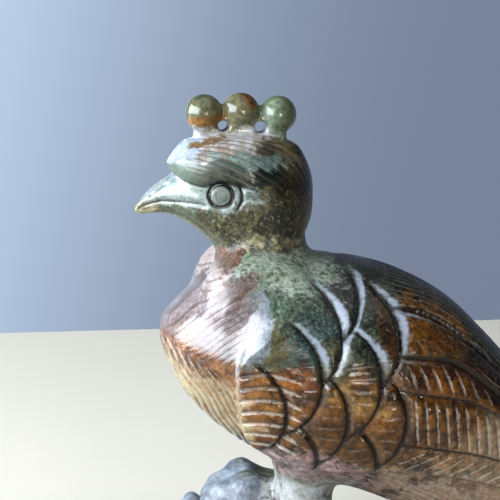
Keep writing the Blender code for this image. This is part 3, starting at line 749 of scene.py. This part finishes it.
# patches of colour in the stone, each laid over the ones before: middle x and height, reach along
# and across, turn in degrees, main colour and the colour it is clouded with
patches = {
    "backDark": ((4, 52), (26, 9), -34, (16, 18, 16), (56, 56, 36)),
    "tail": ((30, 20), (22, 10), -24, (146, 122, 86), (92, 84, 64)),
    "tailTip": ((51, 12), (7, 6), 0, (128, 112, 76), (70, 76, 58)),
    "rearUnder": ((2, 20), (20, 5.5), -12, (196, 162, 130), (206, 182, 152)),
    "flightLow": ((4, 30.5), (11, 5), -8, (216, 176, 126), (152, 114, 78)),
    "flightPale": ((15, 28), (9, 8), -20, (216, 188, 148), (176, 146, 110)),
    "flightRed": ((4, 39), (12, 3.4), -14, (44, 14, 8), (84, 44, 18)),
    "backAmber": ((-0.5, 47.0), (7, 4), -24, (160, 104, 32), (104, 62, 18)),
    "amber": ((-13, 34.5), (19, 8), 0, (172, 108, 34), (84, 46, 14)),
    "frontAmber": ((-27, 35.5), (4, 8), 6, (204, 142, 64), (146, 88, 34)),
    "olive": ((-14, 29.5), (12, 3.6), -4, (132, 86, 30), (80, 48, 16)),
    "orange": ((-20, 41.8), (5.5, 3), 14, (188, 110, 40), (84, 42, 16)),
    "gold": ((-12.5, 37.5), (5.5, 1.8), -16, (206, 156, 74), (124, 80, 36)),
    "green": ((-20.5, 50.5), (11.5, 7), -8, (78, 106, 84), (114, 132, 108)),
    "greenRear": ((-10, 49.5), (5, 8.5), 0, (30, 40, 28), (66, 72, 50)),
    "teal": ((-18.5, 47), (4, 4.5), 0, (82, 114, 110), (66, 86, 72)),
    "fourthGreen": ((-9.6, 44.5), (2.2, 3.6), 10, (56, 66, 46), (84, 92, 66)),
    "fourthBrown": ((-7.3, 46.2), (1.7, 5.4), 10, (110, 70, 34), (64, 44, 26)),
    "secondGreen": ((-16.5, 43.6), (2.0, 4.0), 16, (60, 74, 60), (110, 110, 62)),
    "scaleOlive": ((-26.3, 47), (3, 4), 0, (136, 126, 78), (96, 98, 66)),
    "darkFeather": ((-13.8, 53.8), (3.0, 4.0), -20, (28, 28, 30), (66, 64, 60)),
    # the next patch is a painted highlight, the window's reflection on the front of the shoulder
    "shoulderFrontHighlight": ((-28.4, 48.8), (2.4, 5.4), -14, (174, 188, 198), (148, 160, 164)),
    "shoulderTop": ((-25, 56.6), (11, 3.2), -4, (176, 190, 162), (212, 226, 210)),
    "breastTop": ((-36.0, 50.5), (8, 7.5), 0, (192, 178, 178), (170, 144, 134)),
    "breastRear": ((-31, 54.2), (4.0, 1.7), 20, (150, 118, 102), (112, 84, 70)),
    "farShoulder": ((-36.5, 56), (4, 3), 0, (234, 220, 214), (212, 192, 186)),
    "breastBand": ((-35.5, 42.4), (8, 3.4), -22, (188, 126, 72), (104, 64, 40)),
    "breastLow": ((-36, 34.5), (9, 6.2), -30, (232, 214, 170), (200, 168, 116)),
    "belly": ((-20, 25), (13, 2.8), -12, (222, 190, 182), (168, 138, 132)),
    "neckRoot": ((-23.5, 60), (7.5, 1.8), 0, (222, 214, 164), (84, 90, 72)),
    "orangeRed": ((-31.6, 58.6), (2.2, 1.6), 30, (150, 92, 62), (150, 126, 106)),
    "cap": ((-28, 74.5), (11, 4.5), -6, (250, 252, 250), (190, 174, 156)),
    "capRear": ((-20.5, 73), (5, 5), 0, (142, 130, 92), (74, 66, 46)),
    "capGreen": ((-25.5, 70.3), (5.5, 2.2), -14, (24, 38, 32), (50, 58, 42)),
    "capTeal": ((-28.0, 72.7), (6, 1.1), -6, (128, 164, 156), (160, 182, 170)),
    "cheek": ((-28, 64.6), (7.5, 3.8), 8, (122, 116, 74), (66, 68, 46)),
    # the face is pale grey-blue stone, made paler in part as a painted reflection of the window
    "face": ((-37.5, 67.8), (8.5, 2.6), -8, (200, 216, 210), (164, 180, 166)),
    # the next patch is a painted reflection of the window behind the eye
    "eyeCornerReflection": ((-28.9, 67.9), (2.8, 1.3), -10, (186, 204, 198), (156, 174, 160)),
    "neckRear": ((-20.8, 65.5), (4.2, 6), -10, (42, 40, 26), (84, 70, 40)),
    "neckDark": ((-22.6, 63.9), (5.0, 2.2), 22, (26, 32, 26), (60, 58, 38)),
    "nape": ((-17.6, 69), (1.5, 7), 10, (62, 50, 30), (36, 32, 22)),
    # the next patch is a painted highlight on the front of the cap
    "capFrontHighlight": ((-38.0, 74.6), (3.4, 2.6), 24, (236, 246, 255), (206, 216, 226)),
    "capGold": ((-34.3, 75.2), (2.8, 0.7), 8, (176, 146, 96), (146, 116, 80)),
    "beakTip": ((-44, 64.8), (2.6, 1.2), 14, (218, 212, 172), (182, 176, 138)),
    # the beak's top is pale stone, made paler in part as a painted reflection of the window
    "beakTopAndReflection": ((-40.3, 69.4), (4.4, 2.2), 38, (212, 228, 228), (178, 194, 188)),
    "balls": ((-30.5, 80.3), (7.5, 3.6), 0, (164, 160, 118), (126, 128, 92)),
    "ballGreen": ((-22.3, 80), (3.6, 3.8), 0, (152, 172, 138), (124, 144, 108)),
    "ballHoney": ((-34.3, 78.6), (3.2, 1.1), 0, (190, 136, 56), (150, 108, 52)),
    "ballOrange": ((-26.8, 81.8), (1.4, 1.6), 0, (170, 104, 52), (128, 98, 60)),
}
jasperLook = {
    # pairs are the main colour and the one that it is clouded with, or changes into
    "base": ((126, 136, 108), (96, 108, 80)), "legs": ((204, 208, 202), (236, 240, 238)),
    # the last pair on the next line is the green of the stone below the brow and the painted shade it
    # darkens to
    "rock": ((190, 202, 212), (134, 146, 158)), "browGreenAndShade": ((104, 130, 98), (26, 40, 32)),
    # of the next line's pairs, the second is a painted highlight beside feather edges: warm low on the
    # wing, bluish white higher up
    "fleck": ((192, 204, 196), (196, 190, 132)), "edgeSheen": ((204, 180, 146), (206, 220, 236)),
    "speck": (20, 22, 18), "murk": (34, 18, 8), "line": (224, 210, 188), "lineDark": (114, 94, 84),
    "creaseShade": (18, 18, 14), "eye": (176, 190, 176),
    # how far each covers the stone at its strongest
    "cover": {"browGreenAndShade": 0.8, "murk": 0.75, "line": 0.65, "edgeSheen": 0.92, "creaseShade": 0.85, "eye": 0.7},
    "patchShift": 7,  # of the far side, in mm
    "mottling": ((34, 34, 34), (226, 226, 226)),
    "albedo": 0.68, "roughness": (0.06, 0.16), "refraction": 1.54,
}


def jasper():
    # patches of clouded colour with flecks and specks, paler or darker along the lines, with painted shade
    # in the creases and painted highlights beside feather edges
    cover = jasperLook["cover"]
    stone = Finish(bpy.data.materials.new("jasper"), "Principled BSDF")
    place = Varying(stone, stone.node("ShaderNodeTexCoord", {}, {}).outputs["Object"])
    drift = stone.noise(place, 14, 2, output=1)
    feathered = stone.noise(place, 2.2, 4, 0.65, output=1)
    warped = stone.moved(stone.moved(place, 2.6, drift), 1.5, feathered)
    cloud = stone.ramp(0.4, 0.62, stone.noise(warped, 3.4, 5, 0.68))
    x, y, z = stone.split(warped)
    # the far side carries the same patches, moved along, and the clouds pull at all their borders
    x = x - jasperLook["patchShift"] * stone.ramp(2, 9, y) + cloud * 0.8 - 0.4
    z = z + cloud * 0.6 - 0.3
    fine = stone.ramp(0.33, 0.67, stone.noise(place, 0.7, 5, 0.75))
    ragged = (stone.noise(place, 1.7, 4, 0.72) - 0.5) * 2.6
    colour = stone.mix(cloud, *jasperLook["base"])
    # each patch is an ellipse with a ragged edge: 1 at its border, from the squares of both shares
    for (middleX, middleZ), (along, across), turn, main, clouded in patches.values():
        cos, sin = float(np.cos(radians(turn))), float(np.sin(radians(turn)))
        dx, dz = x - middleX, z - middleZ
        away = ((dx * cos + dz * sin) / along) ** 2 + ((dz * cos - dx * sin) / across) ** 2 + ragged
        colour = stone.mix(stone.ramp(1.5, 0.6, away), colour, stone.mix(cloud, main, clouded))
    legShare = stone.ramp(23, 20.5, z) * stone.ramp(-27, -24, x) * stone.ramp(-9, -11.5, x)
    colour = stone.mix(legShare, colour, stone.mix(cloud, *jasperLook["legs"]))
    onRock = stone.attribute("onRock")
    blotch = stone.ramp(0.42, 0.6, stone.noise(place, 6, 5, 0.7))
    colour = stone.mix(onRock, colour, stone.mix(blotch, *jasperLook["rock"]))
    # light and shade inside the stone, dark clouds in the amber, then pale flecks and dark specks
    granular = stone.ramp(43, 49, z) * stone.ramp(70, 66, z)
    granular = granular * stone.ramp(0, 3, x + 35 - 9 * stone.ramp(55.5, 53, z))
    neck = stone.ramp(51.5, 54, z) * stone.ramp(64, 61, z)
    mottling = stone.mix(fine, *jasperLook["mottling"])
    colour = stone.mix(granular * 0.5 + 0.5, colour, mottling, "OVERLAY")
    murky = stone.ramp(0.5, 0.62, stone.noise(warped, 2.8, 5, 0.6))
    murky = murky * stone.ramp(48, 44, z) * stone.ramp(-29, -25, x)
    colour = stone.mix(murky * stone.ramp(14, 0, x) * cover["murk"], colour, jasperLook["murk"])
    salt = stone.noise(place, 0.5, 4, 0.8)
    dullAndShaded = stone.attribute("dullAndShaded")
    back = stone.ramp(-4, 2, z + 0.9 * x - 49) * stone.ramp(-10, -5, x)
    coarse = granular * stone.ramp(-8, -14, x) + dullAndShaded * 0.8 + back * 0.7
    fleck = stone.mix(stone.ramp(57, 60, z), *jasperLook["fleck"])
    colour = stone.mix(stone.ramp(0.54, 0.66, salt) * (coarse * 0.7 + 0.06), colour, fleck)
    colour = stone.mix(stone.ramp(0.47, 0.35, salt) * (coarse * 0.7 + 0.15), colour, jasperLook["speck"])
    # below the brow the green of the stone, darkening towards the eye as painted shade under the brow's
    # overhang
    browGreenAndShade = stone.mix(stone.ramp(-38.5, -33, x) * 0.6 + fine * 0.5 - 0.1, *jasperLook["browGreenAndShade"])
    colour = stone.mix(stone.ramp(0.4, 0.8, dullAndShaded) * cover["browGreenAndShade"], colour, browGreenAndShade)
    # engraved lines keep the pale of ground stone, and beside feather edges a painted highlight lies where
    # the slope catches the window
    phase, share = stone.attribute("linePhase"), stone.attribute("lineShare")
    away = abs(phase - phase.math("ROUND", phase))
    groove = stone.ramp(0.2, 0.06, away)
    cut = groove * share
    pale = stone.ramp(0.12, 0.9, cut) * stone.ramp(0.1, 0.5, fine)
    # on the pale breast and cap the lines are the darker ones
    slope, level = lines["breastBorder"]
    onBreast = stone.ramp(0, 1.5, z + slope * x - level) * stone.ramp(-26, -30, x)
    darker = onBreast.math("MAXIMUM", onBreast, stone.ramp(71.5, 73, z))
    line = stone.mix(darker, jasperLook["line"], jasperLook["lineDark"])
    shown = pale.math("MAXIMUM", pale, groove * onBreast * stone.ramp(0.02, 0.12, share))
    colour = stone.mix(shown * cover["line"], colour, line)
    # the painted highlight beside feather edges, broken up by fine noise and clouds
    edgeSheen = stone.ramp(0.16, 0.8, stone.attribute("edgeSheen") * (fine * 0.6 + cloud * 0.3 + 0.5))
    edgeSheenShare = edgeSheen * cover["edgeSheen"]
    colour = stone.mix(edgeSheenShare, colour, stone.mix(stone.ramp(40, 45, z), *jasperLook["edgeSheen"]))
    # painted shade in the creases and grooves
    creaseShaded = stone.ramp(0.2, 0.8, stone.attribute("creaseShade")) * cover["creaseShade"]
    colour = stone.mix(creaseShaded, colour, jasperLook["creaseShade"])
    # dark rings round the eye, the second one only behind it: these two are painted shade in the ring and
    # crescent grooves, and a faint third inside is a painted mark
    across, _, up = stone.split(place)
    across, up = across - face["eye"][0], up - face["eye"][1]
    fromEye = (across ** 2 + up ** 2) ** 0.5

    def ring(name):
        # 1 at the radius, fading on both sides
        radius, far, near = face[name]
        return stone.ramp(far, near, abs(fromEye - radius))

    outer = ring("outerRing")
    second = ring("crescentRing") * stone.ramp(0.65, 0.8, across / (fromEye + 0.01))
    inner = ring("innerRing") * 0.3
    colour = stone.mix(stone.ramp(1.7, 1.5, fromEye) * cover["eye"], colour, jasperLook["eye"])
    colour = stone.mix(outer + second + inner, colour, jasperLook["creaseShade"])
    stone.feed("Base Color", stone.mix(1.0, colour, [255 * jasperLook["albedo"]] * 3, "MULTIPLY"))
    polished, worn = jasperLook["roughness"]
    polish = stone.ramp(0.3, 0.75, stone.noise(place, 2.5, 5, 0.7)) * (worn - polished) + polished
    stone.feed("Roughness", polish + cut * 0.35 + onRock * 0.25 + coarse * 0.16 + neck * 0.16)
    # the polish is finely pitted where the stone is coarse, and the cut lines lie lower
    grain = fine * 0.008 + (salt - 0.5) * (onRock * 0.09 + coarse * 0.07 + neck * 0.07 + 0.01) - cut * 0.09
    stone.feed("Normal", stone.bump(grain, 1.0, 0.8))
    stone.shader.inputs["IOR"].default_value = jasperLook["refraction"]
    return stone.owner


peacock.data.materials.clear()
peacock.data.materials.append(jasper())
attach(peacock, "root")
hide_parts("peacock_carving")
print("jasper laid on")

surroundings = {
    # the table ends behind the carving, and painted shade darkens it between two distances from it
    "table": (211, 206, 191), "tableFrontShade": (154, 148, 136), "mottled": 0.96, "tableShadeFade": (60, -20),
    "tableBack": 200.0, "tableSide": 2000.0, "tableRoughness": (0.75, 0.85),
    # the air: beside and behind the carving, behind the camera, and above
    "left": (200, 222, 248), "right": (120, 131, 153), "room": (84, 84, 88), "above": (66, 70, 78),
}


def addTable():
    # a flat, pale table top of matt mottled board, with painted shade darkening it in front of the carving
    finish = Finish(bpy.data.materials.new("paleTable"), "Principled BSDF")
    place = Varying(finish, finish.node("ShaderNodeTexCoord", {}, {}).outputs["Object"])
    mottled = finish.noise(place, 60, 3)
    front = finish.ramp(*surroundings["tableShadeFade"], finish.split(place)[1])
    spots = [surroundings["mottled"] * part for part in surroundings["table"]]
    lit = finish.mix(mottled, surroundings["table"], spots)
    # painted shade over the table in front of the carving
    finish.feed("Base Color", finish.mix(front, lit, surroundings["tableFrontShade"]))
    least, most = surroundings["tableRoughness"]
    finish.feed("Roughness", finish.noise(place, 25, 2) * (most - least) + least)
    side, back = surroundings["tableSide"], surroundings["tableBack"]
    corners = np.array([(-side, -side, 0), (side, -side, 0), (side, back, 0), (-side, back, 0)]) * mm
    mesh = bpy.data.meshes.new("table")
    mesh.from_pydata(corners.tolist(), [], [(0, 1, 2, 3)])
    mesh.materials.append(finish.owner)
    makeObject("table", mesh)


addTable()

# turns in degrees, the rest in mm, with the width that the frame takes in at the target
camera = {
    "azimuth": -7.0, "elevation": 10.0, "distance": 260.0, "target": (-26.8, 0.0, 57.9),
    "frame": 80.0, "sensor": 36.0, "nearest": 10.0,
}


def addCamera():
    # out from the target along its azimuth and elevation: the lens is to the sensor as distance to frame
    azimuth, elevation = radians(camera["azimuth"]), radians(camera["elevation"])
    level = np.cos(elevation)
    back = Vector((np.sin(azimuth) * level, -np.cos(azimuth) * level, np.sin(elevation)))
    data = bpy.data.cameras.new("camera")
    data.sensor_width = camera["sensor"]
    data.lens = camera["sensor"] * camera["distance"] / camera["frame"]
    data.clip_start = camera["nearest"] * mm
    made = makeObject("camera", data)
    made.location = (Vector(camera["target"]) + back * camera["distance"]) * mm
    made.rotation_euler = (-back).to_track_quat("-Z", "Y").to_euler()
    bpy.context.scene.camera = made
    bpy.context.scene.view_settings.view_transform = "Standard"


lights = {
    # place and aim in mm, width and height in mm, power in watts, colour
    "window": ((-450, -120, 222), (-20, 0, 45), (740, 320), 10.6, (0.87, 0.94, 1.05)),
    "ceiling": ((60, -150, 900), (-20, 0, 45), (900, 900), 1.9, (1.0, 0.98, 0.94)),
    "lamp": ((80, -560, 90), (-10, 0, 45), (60, 60), 0.6, (1.0, 0.96, 0.9)),
}


def addLights():
    # each is an even rectangle turned to face its aim
    for name, (place, aim, size, power, colour) in lights.items():
        data = bpy.data.lights.new(name, "AREA")
        data.shape = "RECTANGLE"
        data.size, data.size_y = size[0] * mm, size[1] * mm
        data.energy, data.color = power, colour
        made = makeObject(name, data)
        made.location = Vector(place) * mm
        made.rotation_euler = (Vector(aim) - Vector(place)).to_track_quat("-Z", "Y").to_euler()


def addBackdrop():
    # grey-blue air, paler towards the window and dim behind the camera
    air = Finish(bpy.data.worlds.new("backdrop"), "Background")
    coordinates = air.node("ShaderNodeTexCoord", {}, {}).outputs["Generated"]
    x, y, z = (part * mm for part in air.split(coordinates))
    right = 1 - (1 - air.ramp(-0.12, 0.36, x - 0.25 * z)) ** 2
    colour = air.mix(right, surroundings["left"], surroundings["right"])
    colour = air.mix(air.ramp(0.3, -0.2, y), colour, surroundings["room"])
    air.feed("Color", air.mix(air.ramp(0.05, 0.45, z), colour, surroundings["above"]))
    bpy.context.scene.world = air.owner


addCamera()
addLights()
addBackdrop()
print("camera and lights set")
